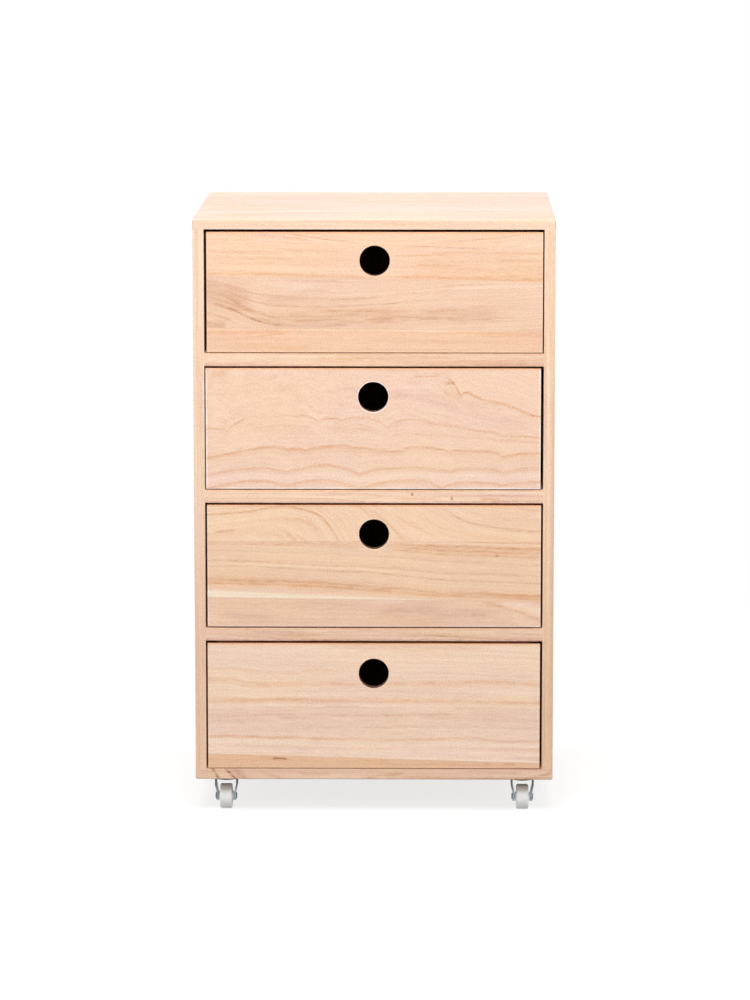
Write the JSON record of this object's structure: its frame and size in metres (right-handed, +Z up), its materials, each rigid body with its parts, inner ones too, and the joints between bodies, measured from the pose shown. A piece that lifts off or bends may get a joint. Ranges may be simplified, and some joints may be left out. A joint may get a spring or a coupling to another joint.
{
  "type": "chest of drawers",
  "caption": "Narrow chest of drawers in pale bare wood: flush inset drawers with round finger holes, slim divider rails, and small white swivel casters underneath.",
  "frame": {"origin": "on the floor, under the middle of the footprint", "axes": "+Z up, the drawer fronts face -Y, +X to the right of someone facing the drawers"},
  "size_m": [0.36, 0.34, 0.6],
  "materials": {
    "carcass_wood": "bare, sanded",
    "rail_wood": "bare, sanded",
    "runner_wood": "bare, planed",
    "dowel_wood": "bare",
    "box_wood": "bare, sanded",
    "plywood": "bare plywood",
    "drawer_1_front_wood": "bare, sanded, edge-glued staves",
    "drawer_2_front_wood": "bare, sanded, edge-glued staves",
    "drawer_3_front_wood": "bare, sanded, edge-glued staves",
    "drawer_4_front_wood": "bare, sanded, edge-glued staves",
    "zinc_plated_steel": "zinc plated",
    "bright_steel": "bright",
    "white_nylon": "satin"
  },
  "bodies": {
    "carcass": {"top_panel": "carcass_wood", "bottom_panel": "carcass_wood", "back_panel": "plywood", "left_side_panel": "carcass_wood", "right_side_panel": "carcass_wood", "divider_rail_1": "rail_wood", "divider_rail_2": "rail_wood", "divider_rail_3": "rail_wood", "runner_1_left": "runner_wood", "runner_1_right": "runner_wood", "runner_2_left": "runner_wood", "runner_2_right": "runner_wood", "runner_3_left": "runner_wood", "runner_3_right": "runner_wood", "carcass_dowels": "dowel_wood", "runner_screws": "bright_steel", "back_panel_nails": "bright_steel", "caster_front_left_plate": "zinc_plated_steel", "caster_front_right_plate": "zinc_plated_steel", "caster_back_left_plate": "zinc_plated_steel", "caster_back_right_plate": "zinc_plated_steel", "caster_kingpins": "zinc_plated_steel", "caster_balls": "bright_steel", "caster_screws": "zinc_plated_steel"},
    "drawer_1": {"drawer_1_front": "drawer_1_front_wood", "drawer_1_left_side": "box_wood", "drawer_1_right_side": "box_wood", "drawer_1_back": "box_wood", "drawer_1_bottom": "plywood", "drawer_1_brads": "bright_steel"},
    "drawer_2": {"drawer_2_front": "drawer_2_front_wood", "drawer_2_left_side": "box_wood", "drawer_2_right_side": "box_wood", "drawer_2_back": "box_wood", "drawer_2_bottom": "plywood", "drawer_2_brads": "bright_steel"},
    "drawer_3": {"drawer_3_front": "drawer_3_front_wood", "drawer_3_left_side": "box_wood", "drawer_3_right_side": "box_wood", "drawer_3_back": "box_wood", "drawer_3_bottom": "plywood", "drawer_3_brads": "bright_steel"},
    "drawer_4": {"drawer_4_front": "drawer_4_front_wood", "drawer_4_left_side": "box_wood", "drawer_4_right_side": "box_wood", "drawer_4_back": "box_wood", "drawer_4_bottom": "plywood", "drawer_4_brads": "bright_steel"},
    "caster_front_left_swivel": {"caster_front_left_fork": "zinc_plated_steel", "caster_front_left_axle": "zinc_plated_steel"},
    "caster_front_left_roller": {"caster_front_left_wheel": "white_nylon"},
    "caster_front_right_swivel": {"caster_front_right_fork": "zinc_plated_steel", "caster_front_right_axle": "zinc_plated_steel"},
    "caster_front_right_roller": {"caster_front_right_wheel": "white_nylon"},
    "caster_back_left_swivel": {"caster_back_left_fork": "zinc_plated_steel", "caster_back_left_axle": "zinc_plated_steel"},
    "caster_back_left_roller": {"caster_back_left_wheel": "white_nylon"},
    "caster_back_right_swivel": {"caster_back_right_fork": "zinc_plated_steel", "caster_back_right_axle": "zinc_plated_steel"},
    "caster_back_right_roller": {"caster_back_right_wheel": "white_nylon"}
  },
  "joints": [
    {"name": "drawer_1_slide", "type": "slide", "parent": "carcass", "child": "drawer_1", "axis": [0, -1, 0], "range_m": [0, 0.24]},
    {"name": "drawer_2_slide", "type": "slide", "parent": "carcass", "child": "drawer_2", "axis": [0, -1, 0], "range_m": [0, 0.24]},
    {"name": "drawer_3_slide", "type": "slide", "parent": "carcass", "child": "drawer_3", "axis": [0, -1, 0], "range_m": [0, 0.24]},
    {"name": "drawer_4_slide", "type": "slide", "parent": "carcass", "child": "drawer_4", "axis": [0, -1, 0], "range_m": [0, 0.24]},
    {"name": "caster_front_left_swivel", "type": "hinge", "parent": "carcass", "child": "caster_front_left_swivel", "pos_m": [-0.15, -0.14, 0.0293], "axis": [0, 0, 1], "continuous": true},
    {"name": "caster_front_left_roll", "type": "hinge", "parent": "caster_front_left_swivel", "child": "caster_front_left_roller", "pos_m": [-0.15, -0.148, 0.0125], "axis": [1, 0, 0], "continuous": true},
    {"name": "caster_front_right_swivel", "type": "hinge", "parent": "carcass", "child": "caster_front_right_swivel", "pos_m": [0.15, -0.14, 0.0293], "axis": [0, 0, 1], "continuous": true},
    {"name": "caster_front_right_roll", "type": "hinge", "parent": "caster_front_right_swivel", "child": "caster_front_right_roller", "pos_m": [0.15, -0.148, 0.0125], "axis": [1, 0, 0], "continuous": true},
    {"name": "caster_back_left_swivel", "type": "hinge", "parent": "carcass", "child": "caster_back_left_swivel", "pos_m": [-0.15, 0.14, 0.0293], "axis": [0, 0, 1], "continuous": true},
    {"name": "caster_back_left_roll", "type": "hinge", "parent": "caster_back_left_swivel", "child": "caster_back_left_roller", "pos_m": [-0.15, 0.132, 0.0125], "axis": [1, 0, 0], "continuous": true},
    {"name": "caster_back_right_swivel", "type": "hinge", "parent": "carcass", "child": "caster_back_right_swivel", "pos_m": [0.15, 0.14, 0.0293], "axis": [0, 0, 1], "continuous": true},
    {"name": "caster_back_right_roll", "type": "hinge", "parent": "caster_back_right_swivel", "child": "caster_back_right_roller", "pos_m": [0.15, 0.132, 0.0125], "axis": [1, 0, 0], "continuous": true}
  ]
}
